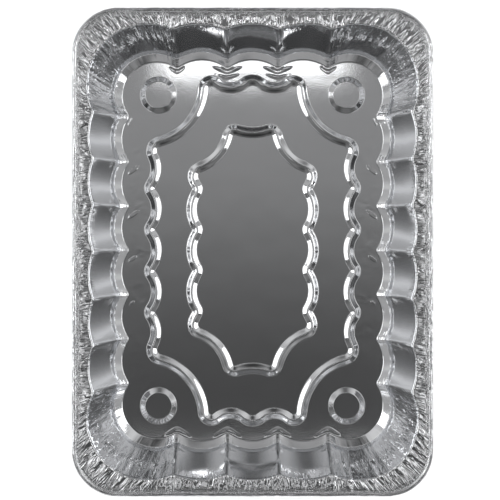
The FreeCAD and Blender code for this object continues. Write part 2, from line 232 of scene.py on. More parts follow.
class PanSizes(bpy.types.PropertyGroup):
    """The sizes of the pressed sheet."""
    gauge: length(0.2, "Gauge", "Thickness of the sheet")
    rim_corner: length(38, "Rim corner", "Plan radius of the rim's corners")
    curl_width: length(4.3, "Curl width", "Outside diameter of the rolled rim")
    curl_rise: length(1.0, "Curl rise", "Height of the rim over the flange")
    flange_width: length(14, "Flange width", "From the rim's outside to the wall")
    wall_run: length(21.3, "Wall run", "Lean of the wall in plan, foot included")
    foot_run: length(6.5, "Foot run", "Width of the bevel round the floor")
    foot_rise: length(5, "Foot rise", "Height of the bevel round the floor")
    side_margin: length(86.2, "Side margin", "From the rim's end to a long side's last flute")
    end_margin: length(83.7, "End margin", "From the rim's side to a short side's last flute")
    side_scallop_foot: length(6.4, "Side scallop, foot", "Depth of the side flutes at the floor")
    side_scallop_top: length(3.8, "Side scallop, top", "Depth of the side flutes at the flange")
    end_scallop_foot: length(7.4, "End scallop, foot", "Depth of the end flutes at the floor")
    end_scallop_top: length(4.6, "End scallop, top", "Depth of the end flutes at the flange")
    ridge_round: length(3.5, "Ridge round", "Radius of the ridge between two flutes")
    corner_bulge_foot: length(25.6, "Corner bulge, foot", "Rise of the corner's arc, at the floor")
    corner_bulge_top: length(33.4, "Corner bulge, top", "Rise of the corner's arc, at the flange")
    bead_width: length(9.6, "Bead width", "Full width of a pressed bead")
    bead_height: length(2.0, "Bead height", "Height of beads and bosses over the floor")
    boss_base: length(32, "Boss base", "Diameter of a corner boss at the floor")
    boss_top: length(23.5, "Boss top", "Diameter of a corner boss at its flat top")
    boss_inset_across: length(32.2, "Boss inset across", "From the floor's side edge to a boss")
    boss_inset_along: length(31.3, "Boss inset along", "From the floor's end edge to a boss")
    side_flutes: IntProperty(name="Side flutes", description="Flutes on a long side", default=6)
    end_flutes: IntProperty(name="End flutes", description="Flutes on a short side", default=3)


class FoilFinish(bpy.types.PropertyGroup):
    """The look of the foil and its crumpling."""
    colour: StringProperty(name="Colour", description="Foil colour as sRGB hex", default="E4E5E7")
    roughness: FloatProperty(name="Roughness", description="Gloss of the rolled foil",
                             default=0.08, min=0.0, max=1.0, subtype="FACTOR")
    flange_crinkle: length(0.34, "Flange crinkle", "Height of the crinkles on the flange")
    corner_gather: length(0.62, "Corner gather", "Height of the folds round the corners")
    seed: IntProperty(name="Seed", description="Chooses one set of folds", default=7)


class Studio(bpy.types.PropertyGroup):
    """The floor, the lights and the camera."""
    floor_colour: StringProperty(name="Floor", description="Floor colour as sRGB hex",
                                 default="FFFFFF")
    camera_height: length(1095, "Camera height", "Camera over the rim")
    lens: FloatProperty(name="Lens", description="Focal length in millimetres", default=95.14,
                        subtype="DISTANCE_CAMERA")
    camera_place: FloatVectorProperty(name="Camera place", description="Camera across and along",
                                      size=2, default=(-0.001, 0.024), unit="LENGTH")


def sizes():
    """The pan's sizes in millimetres, as plain numbers."""
    group = bpy.context.scene.pan_sizes
    values = {}
    for prop in group.bl_rna.properties:
        if prop.type == "FLOAT":
            values[prop.identifier] = round(getattr(group, prop.identifier) / MM, 4)
        elif prop.type == "INT":
            values[prop.identifier] = getattr(group, prop.identifier)
    return values


def linear(hex_colour):
    """An sRGB hex colour as linear RGBA."""
    channels = np.array([int(hex_colour[i:i + 2], 16) for i in (0, 2, 4)]) / 255
    value = np.where(channels <= 0.04045, channels / 12.92, ((channels + 0.055) / 1.055) ** 2.4)
    return (*(float(v) for v in value), 1.0)


# Outlines: closed chains of arcs, seen from above and running counterclockwise

def bowed(corners, bulges):
    """Centres and signed radii of the arcs between each corner and the next.

    An arc over a chord c that rises by b has the radius (c * c / 4 + b * b) / 2b. It is negative
    where the outline is hollow.
    """
    following = np.roll(corners, -1, axis=0)
    across = following - corners
    chord = np.linalg.norm(across, axis=1)
    radii = (chord ** 2 / 4 + bulges ** 2) / (2 * bulges)
    outward = np.stack([across[:, 1], -across[:, 0]], axis=1) / chord[:, None]
    return (corners + following) / 2 + outward * (bulges - radii)[:, None], radii


def outline(points, bulges, rounds):
    """Arcs of an outline from half of its corners. The other half is the first, turned round.

    A rounding of radius r touches the circles of radii p and q before and after it, so its centre
    lies |p - r| and |q - r| from theirs. Returns centres, signed radii, first directions as
    angles, and turns, for a main arc and its rounding by turns.
    """
    corners = np.concatenate([points, -np.asarray(points)])
    bulges = np.tile(np.asarray(bulges, float), 2)
    rounds = np.tile(np.asarray(rounds, float), 2)
    centres, radii = bowed(corners, bulges)
    after, radii_after = np.roll(centres, -1, axis=0), np.roll(radii, -1)
    span = after - centres
    gap = np.linalg.norm(span, axis=1)
    reach, reach_after = np.abs(radii - rounds), np.abs(radii_after - rounds)
    along = (reach ** 2 - reach_after ** 2 + gap ** 2) / (2 * gap)
    aside = np.sqrt(reach ** 2 - along ** 2)
    forward = span / gap[:, None]
    left = np.stack([-forward[:, 1], forward[:, 0]], axis=1)

    def joint(side):
        centre = centres + forward * along[:, None] + left * (side * aside)[:, None]
        entry = (centre - centres) / (radii - rounds)[:, None]
        leave = (centre - after) / (radii_after - rounds)[:, None]
        return centre, entry, leave

    (c1, e1, l1), (c2, e2, l2) = joint(1), joint(-1)
    good = ((e1[:, 0] * l1[:, 1] - e1[:, 1] * l1[:, 0]) * rounds > 0)[:, None]
    middle, entry, leave = np.where(good, c1, c2), np.where(good, e1, e2), np.where(good, l1, l2)
    entry, leave = (np.arctan2(d[:, 1], d[:, 0]) for d in (entry, leave))
    start = np.roll(leave, 1)
    centres = np.stack([centres, middle], axis=1).reshape(-1, 2)
    radii = np.stack([radii, rounds], axis=1).ravel()
    first = np.stack([start, entry], axis=1).ravel()
    last = np.stack([entry, leave], axis=1).ravel()
    turns = (last - first + math.pi) % (2 * math.pi) - math.pi
    return centres, radii, first, turns


def columns(counts):
    """The arc that each column lies on, and its share of that arc."""
    counts = np.asarray(counts)
    arc = np.repeat(np.arange(len(counts)), counts)
    starts = np.cumsum(counts) - counts
    return arc, (np.arange(counts.sum()) - starts[arc]) / counts[arc]


def on_outline(arcs, arc, share, offset):
    """Plan points at shares of arcs, moved outwards by offset."""
    centres, radii, first, turns = arcs
    angle = first[arc] + turns[arc] * share
    outward = np.stack([np.cos(angle), np.sin(angle)], axis=-1)
    return centres[arc] + outward * (radii[arc] + offset)[..., None]


def wall_outline(s, share):
    """The wall's outline at a share of its lean: 0 at the floor's edge and 1 at the flange."""
    inset = s["flange_width"] + s["wall_run"] * (1 - share)
    side, end, corner = (s[name + "_foot"] + (s[name + "_top"] - s[name + "_foot"]) * share
                         for name in ("side_scallop", "end_scallop", "corner_bulge"))
    side_x = HIGH_X / MM - inset - side
    end_y = HIGH_Y / MM - inset - end
    last_y = HIGH_Y / MM - s["side_margin"]
    last_x = HIGH_X / MM - s["end_margin"]
    y = np.linspace(-last_y, last_y, s["side_flutes"] + 1)
    x = np.linspace(last_x, -last_x, s["end_flutes"] + 1)
    points = np.concatenate([np.stack([np.full_like(y, side_x), y], axis=1),
                             np.stack([x, np.full_like(x, end_y)], axis=1)])
    bulges = [side] * s["side_flutes"] + [corner] + [end] * s["end_flutes"] + [corner]
    ridge = s["ridge_round"] + (RIDGE_ROUND_TOP - s["ridge_round"]) * share
    return outline(points, bulges, [-ridge] * len(points))


def rim_knots(s):
    """Half straights of the rim, and the places where its straights and corners end.

    Places run counterclockwise from the middle of the +X side, in millimetres.
    """
    corner = s["rim_corner"]
    across, along = HIGH_X / MM - corner, HIGH_Y / MM - corner
    arc = corner * math.pi / 2
    steps = [0, along, arc, 2 * across, arc, 2 * along, arc, 2 * across, arc, along]
    return across, along, np.cumsum(steps)


def rim_path(s, place, inset):
    """Points of the rim's rounded rectangle moved in by inset.

    The corners' centres and the direction are both linear between the ends of the straights.
    """
    across, along, knots = rim_knots(s)
    place = place % knots[-1]
    angle = np.interp(place, knots, math.pi / 2 * np.array([0, 0, 1, 1, 2, 2, 3, 3, 4, 4]))
    middle = np.stack([
        np.interp(place, knots, across * np.array([1, 1, 1, -1, -1, -1, -1, 1, 1, 1])),
        np.interp(place, knots, along * np.array([0, 1, 1, 1, 1, -1, -1, -1, -1, 0]))], axis=-1)
    outward = np.stack([np.cos(angle), np.sin(angle)], axis=-1)
    reach = np.broadcast_to(s["rim_corner"] - inset, place.shape)
    return middle + outward * reach[..., None]


def rim_places(s, plan, in_corner):
    """Where on the rim each column of the wall ends: straight across from flutes and ridges.

    Round the corners the places are spaced evenly by column.
    """
    across, along, knots = rim_knots(s)
    x, y = plan[:, 0], plan[:, 1]
    on_side = np.abs(x) > HIGH_X / MM - s["end_margin"] + 2 * s["ridge_round"]
    sides = np.where(x > 0, y, knots[4] + along - y)
    ends = np.where(y > 0, knots[2] + across - x, knots[6] + across + x)
    place = np.where(on_side, sides, ends)
    index = np.arange(len(place))
    place = np.where((index > len(place) / 2) & (place < 0), place + knots[-1], place)
    known = np.flatnonzero(~in_corner)
    stops = np.append(known, known[0] + len(place))
    return np.interp(index, stops, np.append(place[known], place[known[0]] + knots[-1]))


# The wall and flange: rows of points from the rim down to the floor

def stretch(rows):
    """Even shares of a straight stretch, with the first and the last row drawn to its ends."""
    shares = np.arange(rows) / rows
    if rows > 2:
        shares[1], shares[-1] = END_ROW, 1 - END_ROW
    return shares


def path_rows(corners, rounds, straights, turns):
    """Rows of points along a path with rounded corners, worked out for every column at once.

    corners are arrays of points. Each inner corner is rounded by a parabola that leaves the path
    a tangent length before it: (1 - t)^2 A + 2 t (1 - t) V + t^2 B. straights are the rows on
    each straight stretch and turns the rows on each rounding.
    """
    rows = []
    leave = corners[0]
    for number in range(1, len(corners)):
        here = corners[number]
        last = number == len(corners) - 1
        back = corners[number - 1] - here
        reach = 0 if last else rounds[number - 1]
        arrive = here + back / np.linalg.norm(back, axis=-1, keepdims=True) * reach
        for t in stretch(straights[number - 1]):
            rows.append(leave + (arrive - leave) * t)
        if last:
            rows.append(arrive)
            break
        ahead = corners[number + 1] - here
        leave = here + ahead / np.linalg.norm(ahead, axis=-1, keepdims=True) * reach
        for t in np.arange(turns[number - 1]) / turns[number - 1]:
            rows.append(arrive * (1 - t) ** 2 + here * 2 * t * (1 - t) + leave * t ** 2)
    return np.array(rows)


def lifted(plan, height):
    """Plan points with a height."""
    return np.concatenate([plan, np.full((*plan.shape[:-1], 1), float(height))], axis=-1)


def grid_normals(rows):
    """Unit normals of a grid of points that closes along its columns: the cross product of the
    differences both ways, which points up on the flange and inwards on the wall."""
    down = np.gradient(rows, axis=0)
    along = np.roll(rows, -1, axis=1) - np.roll(rows, 1, axis=1)
    normal = np.cross(down, along)
    normal /= np.linalg.norm(normal, axis=-1, keepdims=True)
    return normal * np.sign(normal[0, 0, 2])


# Folds: short creases in the foil, each a straight or slightly curved ridge

def fade(distance, bounds):
    """A share that goes evenly from 0 at the first bound to 1 at the second."""
    none, full = bounds
    return np.clip((distance - none) / (full - none), 0, 1)


def crumple(u, v, around, folds):
    """The height of many folds at places u along the outline and v down the section.

    A fold is a tent across its own line, 1 - |x| / width, times a parabola along it that is zero
    at both its ends. Its line runs down the section, turned by an angle, and bends by curve.
    """
    height = np.zeros(u.shape)
    for part in np.array_split(folds, max(1, len(folds) // FOLDS_AT_ONCE)):
        at, down, width, reach, angle, curve, rise = (c[:, None, None] for c in part.T)
        x = (u - at + around / 2) % around - around / 2
        along = (v - down) * np.cos(angle) + x * np.sin(angle)
        across = x * np.cos(angle) - (v - down) * np.sin(angle) - curve * along ** 2
        tent = np.maximum(0, 1 - np.abs(across) / width)
        height += (rise * tent * np.maximum(0, 1 - (along / reach) ** 2)).sum(axis=0)
    return height


def fold_set(rng, at, family, scale):
    """Folds at given places, their sizes drawn evenly between a family's bounds."""
    count = len(at)
    values = [np.asarray(at)]
    values += [rng.uniform(*bounds, count) for bounds in family]
    values[-1] = values[-1] * scale * rng.choice([-1, 1], count)
    return np.stack(values, axis=1)


def spaced(rng, start, stop, pitch):
    """Places from start to stop at an uneven pitch."""
    count = max(2, int((stop - start) / pitch))
    jitter = rng.uniform(-FOLD_JITTER, FOLD_JITTER, count)
    return np.linspace(start, stop, count) + jitter * pitch


def outline_columns(s):
    """The arc that each column lies on, its share of that arc, and the numbers of the corners'
    arcs. Main arcs have even numbers and the ridges between them odd ones."""
    half = 2 * (s["side_flutes"] + s["end_flutes"] + 2)
    first_corner = 2 * s["side_flutes"]
    corner_arcs = np.array([first_corner, half - 2, half + first_corner, 2 * half - 2])
    counts = np.full(2 * half, RIDGE_COLUMNS)
    counts[0::2] = SIDE_COLUMNS
    for first in (first_corner + 2, half + first_corner + 2):
        counts[first:first + 2 * s["end_flutes"]:2] = END_COLUMNS
    counts[corner_arcs] = CORNER_COLUMNS
    return *columns(counts), corner_arcs


def section_rows(s, arc, share, places):
    """Rows of points down every column's section: a path from the rim over the flange's bend,
    down the wall, over the knee and along the bevel to the floor."""
    foot, knee, top = (wall_outline(s, lean) for lean in (0, s["foot_run"] / s["wall_run"], 1))
    roll = s["curl_width"] / 2
    over = roll - s["curl_rise"]
    contact = roll + math.sqrt(roll ** 2 - over ** 2)
    flange = HIGH_Z / MM - s["curl_rise"]
    corners = [lifted(rim_path(s, places, contact), flange),
               lifted(on_outline(top, arc, share, SHOULDER_WIDTH), flange),
               lifted(on_outline(top, arc, share, 0), flange - SHOULDER_DROP),
               lifted(on_outline(knee, arc, share, 0), s["foot_rise"]),
               lifted(on_outline(foot, arc, share, 0), s["gauge"]),
               lifted(on_outline(foot, arc, share, -FLOOR_LIP), s["gauge"])]
    return path_rows(corners, BEND_REACHES, STRAIGHT_ROWS, BEND_ROWS)


def ridge_places(u, arc):
    """Where along the outline the middles of the ridges lie."""
    return np.array([u[arc == number].mean() for number in range(1, arc.max() + 1, 2)])


def wall_grid(s, finish):
    """Points of the flange, the wall and the bevel, one column for each place on the outline.

    Folds move the section's points along the sheet's normal. u is the distance along the
    outline and down the one down the section, from the flange's bend.
    """
    arc, share, corner_arcs = outline_columns(s)
    in_corner = np.isin(arc, corner_arcs)
    top_plan = on_outline(wall_outline(s, 1), arc, share, 0)
    places = rim_places(s, top_plan, in_corner)
    rows = section_rows(s, arc, share, places)
    steps = np.linalg.norm(np.diff(rows, axis=0), axis=-1)
    from_rim = np.concatenate([np.zeros((1, steps.shape[1])), np.cumsum(steps, axis=0)])
    down = from_rim - from_rim[STRAIGHT_ROWS[0] + BEND_ROWS[0]]
    edge = np.linalg.norm(np.roll(top_plan, -1, axis=0) - top_plan, axis=1)
    around = edge.sum()
    u = np.broadcast_to(np.cumsum(edge) - edge, down.shape)
    height = foil_folds(finish, u, down, around, arc, corner_arcs)
    height *= fade(from_rim, FOLDS_FROM_RIM)
    moved = rows + grid_normals(rows) * height[..., None]
    away = u[..., None] - ridge_places(u[0], arc)
    from_ridge = np.abs((away + around / 2) % around - around / 2).min(axis=-1)
    crinkled, rolled = crease_masks(down, from_rim, from_ridge, in_corner)
    return moved, u, down, places, around, crinkled, rolled


def crease_masks(down, from_rim, from_ridge, in_corner):
    """How strongly the sheet is crinkled, and how strongly it is creased along its outline.

    Crinkles lie on the flange, in the corners, along the wall's top and beside the ridges, and
    long creases on the rolled rim and round the ridges' feet.
    """
    to_floor = fade(down[-1] - down, CREASES_FROM_FLOOR)
    beside = np.exp(-(from_ridge / CRINKLE_SPREAD) ** 2) * fade(down, LOWER_CRINKLES) * LOWER_SHARE
    beside = np.maximum(beside, fade(down, UPPER_CRINKLES) * UPPER_SHARE) * to_floor
    flange = fade(down, FLANGE_CRINKLES) * fade(from_rim, CRINKLES_FROM_RIM)
    window = np.ones(2 * CORNER_BLUR + 1)
    corner = np.convolve(np.pad(in_corner, CORNER_BLUR, mode="wrap"), window / len(window), "valid")
    corner = corner * np.maximum(fade(down, CORNER_CRINKLES), LEAST_CRINKLE) * CORNER_SHARE
    crinkled = np.maximum.reduce([flange, corner, beside, np.full_like(down, LEAST_CRINKLE)])
    crinkled[-1] = 0
    near_foot = np.exp(-(from_ridge / FOOT_SPREAD) ** 2) * fade(down, FOOT_CREASES) * FOOT_SHARE
    return crinkled, np.maximum(fade(from_rim, ROLLED_FROM_RIM), near_foot * to_floor)


def foil_folds(finish, u, down, around, arc, corner_arcs):
    """How far the folds lift the sheet along its normal, for the whole grid.

    Four families: gathers and crinkles down the corners, crinkles across the flange and its
    bend, crumples beside the ridges, and a slow waviness of a few long sine waves.
    """
    rng = np.random.default_rng(finish["seed"])
    folds = []
    for number in corner_arcs:
        start, stop = u[0][arc == number][[0, -1]]
        for pitch, family in CORNER_FOLDS:
            places = spaced(rng, start, stop, pitch)
            folds.append(fold_set(rng, places, family, finish["corner_gather"]))
    for pitch, family in FLANGE_FOLDS:
        places = spaced(rng, 0, around, pitch)
        folds.append(fold_set(rng, places, family, finish["flange_crinkle"]))
    ridges = ridge_places(u[0], arc)
    for spread, count, family in RIDGE_FOLDS:
        places = np.concatenate([ridge + rng.normal(0, spread, count) for ridge in ridges])
        folds.append(fold_set(rng, places, family, 1))
    height = crumple(u, down, around, np.concatenate(folds))
    turns = u / around * 2 * math.pi
    for _ in range(WAVES):
        waves, lean = rng.integers(*WAVE_COUNTS), rng.uniform(-WAVE_LEAN, WAVE_LEAN)
        height += rng.uniform(*WAVE_RISES) * np.sin(turns * waves + lean * down
                                                    + rng.uniform(0, 2 * math.pi))
    return height * fade(down[-1] - down, FOLDS_FROM_FLOOR)


def curl_grid(s, finish, places):
    """Points of the rolled rim: a circle carried round the rim, from the flange over and under.

    The circle is pressed towards a rounded square, |cos t|^p + |sin t|^p = 1, and its radius
    wanders a little along the rim by a few sine waves.
    """
    rng = np.random.default_rng(finish["seed"] + 1)
    roll = s["curl_width"] / 2
    over = roll - s["curl_rise"]
    start = math.pi - math.asin(over / roll)
    stop = math.radians(CURL_GAP) - math.pi - math.asin(over / roll)
    shares = np.linspace(0, 1, CURL_ROWS + 1)
    turn = start + (stop - start) * shares ** CURL_ROW_POWER
    turns = places / places[-1] * 2 * math.pi
    wander = sum(rng.uniform(*CURL_WAVE_RISES) * np.sin(turns * rng.integers(*CURL_WAVE_COUNTS)
                                                        + rng.uniform(0, 2 * math.pi))
                 for _ in range(CURL_WAVES))
    fading = np.sin(shares * math.pi) * CURL_WANDER
    square = np.abs(np.cos(turn)) ** CURL_POWER + np.abs(np.sin(turn)) ** CURL_POWER
    square = 1 + (square ** (-1 / CURL_POWER) - 1) * fade(start - turn, (0, CURL_SQUARING))
    reach = roll * square[:, None] + (np.abs(wander)[None, :] - CURL_LESS) * fading[:, None]
    inset = roll - reach * np.cos(turn)[:, None]
    height = HIGH_Z / MM - roll + reach * np.sin(turn)[:, None]
    plan = rim_path(s, np.broadcast_to(places, inset.shape), inset)
    return np.concatenate([plan, height[..., None]], axis=-1)


# The floor: pressed beads and bosses on a level sheet

def loop_outline(loop, across, along):
    """A bead loop's outline on a floor of the given half width and half length: side cusps, a
    corner, an end corner and the middle of the end."""
    side_bulge, last_bulge, diagonal, end_bulge = loop.bulges
    nip, corner_round, end_round, tip_round = loop.rounds
    cusp_x, last_y = across - loop.cusps[0], along - loop.cusps[1]
    corner_x, corner_y = across - loop.corner[0], along - loop.corner[1]
    end_x, end_y = across - loop.end[0], along - loop.end[1]
    points = [(corner_x, -corner_y)]
    points += [(cusp_x, y) for y in np.linspace(-last_y, last_y, SIDE_CUSPS)]
    points += [(corner_x, corner_y), (end_x, end_y)]
    rises = [last_bulge] + [side_bulge] * (SIDE_CUSPS - 1) + [last_bulge, diagonal]
    turns = [nip] * SIDE_CUSPS + [corner_round, end_round]
    if loop.tip:
        points.append((0, end_y))
        rises.append(end_bulge)
        turns.append(tip_round)
    points.append((-end_x, end_y))
    rises += [end_bulge, diagonal]
    turns += [end_round, corner_round]
    return outline(np.array(points), rises, turns)


def bead_section(s):
    """Distances across a bead from its middle, and the heights there.

    The sides are straight slopes. Foot and crest are parabolas that meet them smoothly.
    """
    half, rise, foot, crest = s["bead_width"] / 2, s["bead_height"], BEAD_FOOT, BEAD_CREST
    slope = rise / (half - foot / 2 - crest / 2)
    across = np.array([half + BEAD_APRON, half, half - foot / 2, half - foot, (half + crest) / 2,
                       *(crest * share for share in BEAD_CREST_ROWS)])
    height = slope * (half - foot / 2 - across)
    at_foot = across > half - foot - TINY
    height = np.where(at_foot, slope * np.maximum(half - across, 0) ** 2 / (2 * foot), height)
    height = np.where(across < crest + TINY, rise - slope * across ** 2 / (2 * crest), height)
    return np.concatenate([across, -across[::-1]]), np.concatenate([height, height[::-1]])


def bead_rings(s, arcs, side):
    """Rings of points over a bead loop, foot to foot."""
    across, height = bead_section(s)
    turns = np.abs(arcs[3] * (arcs[1] + side * s["bead_width"] / 2))
    counts = np.maximum(3, np.round(turns / BEAD_PITCH)).astype(int)
    counts[np.abs(arcs[1]) <= CUSP_RADIUS] = CUSP_COLUMNS
    arc, share = columns(counts)
    offsets = side * s["bead_width"] / 2 + across
    plan = on_outline(arcs, arc[None, :], share[None, :], offsets[:, None])
    level = np.broadcast_to((height + s["gauge"])[:, None, None], (*plan.shape[:2], 1))
    return np.concatenate([plan, level], axis=-1)


def boss_rings(s, x, y):
    """Rings over a low round boss: a straight slope between two short parabolic bends."""
    top, base, rise = s["boss_top"] / 2, s["boss_base"] / 2, s["bead_height"]
    bend = BOSS_BEND
    slope = rise / (base - top)
    bends = bend * np.array(BOSS_BEND_ROWS)
    radius = np.concatenate([base + bends, top - bends[::-1]])
    into = np.clip(base + bend - radius, 0, None)
    height = np.where(into < 2 * bend, slope * into ** 2 / (4 * bend), slope * (into - bend))
    past = np.clip(top + bend - radius, 0, 2 * bend)
    height = height - slope * past ** 2 / (4 * bend)
    height = np.where(radius < top - bend, rise, height)
    turn = np.arange(BOSS_COLUMNS) / BOSS_COLUMNS * 2 * math.pi
    ring = np.stack([np.cos(turn), np.sin(turn)], axis=-1)
    plan = np.array([x, y]) + radius[:, None, None] * ring
    level = np.broadcast_to((height + s["gauge"])[:, None, None], (*plan.shape[:2], 1))
    return np.concatenate([plan, level], axis=-1)


def chevron(x, y, half, reach, welt):
    """Rows of points over a bent welt whose long slope faces way * Y, with a short one behind.

    Its middle line is inset - sag * reach * |t| with a rounded tip, and its rise and width
    shrink towards its ends with sqrt(1 - t^2). half is its own half length, and reach that of
    the longest welt beside it.
    """
    along = np.concatenate([[-WELT_END], np.linspace(-1, 1, WELT_COLUMNS), [WELT_END]])
    t, n = np.meshgrid(along, WELT_ROWS)
    lens = np.sqrt(np.maximum(0, 1 - t ** 2))
    middle = welt.inset - welt.sag * reach * np.sqrt(t ** 2 + WELT_TIP)
    px = x + t * half
    py = y - math.copysign(1, y) * middle - welt.way * n * (WELT_LEAST + welt.width * lens)
    height = welt.rise * lens * np.interp(n, *WELT_PROFILE)
    return np.stack([px, py, height], axis=-1)


def oval(x, y, half, radius, angle):
    """Rings of points over a slanting welt: ellipses round a flat top."""
    turn = np.arange(WELT_COLUMNS + 1) / WELT_COLUMNS * 2 * math.pi
    rings = np.array(OVAL_RINGS)
    reach = (radius + rings[:, 0])[:, None]
    along = (half + reach) * np.cos(turn)
    aside = reach * np.sin(turn)
    px = x + along * math.cos(angle) - aside * math.sin(angle)
    py = y + along * math.sin(angle) + aside * math.cos(angle)
    height = np.broadcast_to(OVAL_RISE * rings[:, 1:], px.shape)
    return np.stack([px, py, height], axis=-1)


def ridge_feet(s):
    """Where the ridges between the flutes meet the floor."""
    half = 2 * (s["side_flutes"] + s["end_flutes"] + 2)
    ridges = np.arange(1, 2 * half, 2)
    return on_outline(wall_outline(s, 0), ridges, np.full(len(ridges), 0.5), 0)


def welt_patches(s, finish):
    """Rows of points over the welts that the ridges leave in the floor: chevrons round the feet
    of the end ridges, and slanting ovals beside those of the long sides, smaller towards -Y."""
    rng = np.random.default_rng(finish["seed"] + 2)
    last_y = HIGH_Y / MM - s["side_margin"]
    last_x = HIGH_X / MM - s["end_margin"]
    patches = []
    for x, y in ridge_feet(s):
        way = -math.copysign(1, x)
        if abs(y) > last_y + NEAR_CORNER:
            reach = rng.uniform(*WELT_REACHES)
            if y < 0:
                patches.append(chevron(x, y, reach, reach, NEAR_WELT))
            elif abs(x) < last_x - NEAR_CORNER:
                shift = rng.uniform(-INNER_SHIFT, INNER_SHIFT)
                patches.append(chevron(x, y, reach, reach, FAR_WELT))
                patches.append(chevron(x + shift, y, reach - INNER_SHORTER, reach, INNER_WELT))
            else:
                patches.append(chevron(x, y, CORNER_REACH * reach, reach, FAR_WELT))
        elif abs(y) < last_y - NEAR_CORNER and y > OVAL_PLACES[0]:
            half = np.interp(y, OVAL_PLACES, OVAL_HALVES)
            radius = np.interp(y, OVAL_PLACES, OVAL_RADII)
            angle = math.radians(rng.uniform(*OVAL_ANGLES))
            patches.append(oval(x + way * (OVAL_ACROSS + OVAL_STRETCH * half), y - OVAL_ALONG,
                                half, radius, math.pi / 2 - way * (math.pi / 2 - angle)))
        elif y > 0:
            patches.append(oval(x + way * LEAF_PLACE[0], y - LEAF_PLACE[1], LEAF_HALF,
                                LEAF_RADIUS, math.pi / 2 - way * LEAF_LEAN))
    return patches


def kept_edges(patches, kept, first):
    """Edges along the patches' rows between neighbours that are both kept, and numbered anew
    from first on."""
    number = np.cumsum(kept) - 1 + first
    edges = []
    start = 0
    for patch in patches:
        index = np.arange(patch[..., 0].size).reshape(patch.shape[:2]) + start
        pairs = np.stack([index[:, :-1].ravel(), index[:, 1:].ravel()], axis=-1)
        edges += number[pairs[kept[pairs].all(axis=1)]].tolist()
        start += index.size
    return edges


def floor_mesh(s, finish, edge):
    """Vertices and triangles of the floor inside its edge ring, and how buckled they are.

    The rings over beads and bosses, the rows over the welts and a loose hexagonal grid of level
    points are joined by a triangulation that keeps every ring and row. Each point keeps the
    height that its formula gave.
    """
    floor_inset = s["flange_width"] + s["wall_run"]
    across, along = HIGH_X / MM - floor_inset, HIGH_Y / MM - floor_inset
    bosses = np.array([across - s["boss_inset_across"], along - s["boss_inset_along"]])
    rings = [edge]
    for loop, side in ((OUTER_LOOP, 1), (INNER_LOOP, -1)):
        rings += list(bead_rings(s, loop_outline(loop, across, along), side))
    for quarter in ((1, 1), (-1, 1), (-1, -1), (1, -1)):
        rings += list(boss_rings(s, *(bosses * quarter)))
    shaped = np.concatenate(rings)
    patches = welt_patches(s, finish)
    welts = np.concatenate([patch.reshape(-1, 3) for patch in patches])
    clearance = nearest(welts[:, :2], shaped[:, :2])
    welts[:, 2] *= fade(clearance, WELTS_FROM_BEAD)
    kept = (clearance > WELTS_FROM_BEAD[0]) & inside(welts[:, :2], edge[:, :2])
    edges = kept_edges(patches, kept, len(shaped))
    welts = welts[kept] + [0, 0, s["gauge"]]
    x, y = np.meshgrid(np.arange(-across, across, FLAT_PITCH),
                       np.arange(-along, along, FLAT_PITCH * HEXAGON))
    x = x + FLAT_PITCH / 2 * (np.arange(len(x)) % 2)[:, None]
    loose = np.stack([x.ravel(), y.ravel()], axis=-1)
    near = nearest(loose, np.concatenate([shaped, welts])[:, :2])
    loose = loose[(near > FLAT_PITCH * FLAT_CLEARANCE) & inside(loose, edge[:, :2])]
    on_boss = np.linalg.norm(np.abs(loose) - bosses, axis=-1) < s["boss_top"] / 2
    level = s["gauge"] + s["bead_height"] * on_boss[:, None]
    points = np.concatenate([shaped, welts, np.concatenate([loose, level], axis=-1)])
    start = 0
    for ring in rings:
        index = np.arange(len(ring)) + start
        edges += np.stack([index, np.roll(index, -1)], axis=-1).tolist()
        start += len(ring)
    _, _, faces, origin, _, _ = delaunay_2d_cdt([tuple(p) for p in points[:, :2]],
                                                [tuple(pair) for pair in edges], [], 0, MERGED)
    source = np.array([group[0] if group else -1 for group in origin])
    if (source < 0).any():
        raise RuntimeError("the floor's rings cross")
    triangles = source[np.array(faces)]
    middle = points[triangles][:, :, :2].mean(axis=1)
    buckled = fade(nearest(points[:, :2], ridge_feet(s)), BUCKLES_FROM_RIDGE)
    buckled[np.abs(points[:, 1]) > HIGH_Y / MM - s["side_margin"] + END_ZONE] *= END_BUCKLES
    return points, triangles[inside(middle, edge[:, :2])], buckled


def nearest(points, others):
    """How far each plan point is from the nearest of some others."""
    parts = np.array_split(others, max(1, len(others) // POINTS_AT_ONCE))
    return np.min([np.linalg.norm(points[:, None] - part[None], axis=-1).min(axis=1)
                   for part in parts], axis=0)


def inside(points, ring):
    """Whether plan points lie inside a closed ring: an odd number of its edges lie to the right."""
    x, y = points[:, 0, None], points[:, 1, None]
    x1, y1 = ring[:, 0], ring[:, 1]
    x2, y2 = np.roll(ring, -1, axis=0).T
    crossing = x1 + (y - y1) * (x2 - x1) / (y2 - y1 + NOT_ZERO)
    crosses = ((y1 > y) != (y2 > y)) & (x < crossing)
    return crosses.sum(axis=1) % 2 == 1


# One sheet: grid, roll and floor joined into a mesh

def quads(index):
    """Faces between each row of vertex numbers and the next, the first row outermost."""
    ahead = np.roll(index, -1, axis=1)
    return np.stack([index[:-1], ahead[:-1], ahead[1:], index[1:]], axis=-1).reshape(-1, 4)


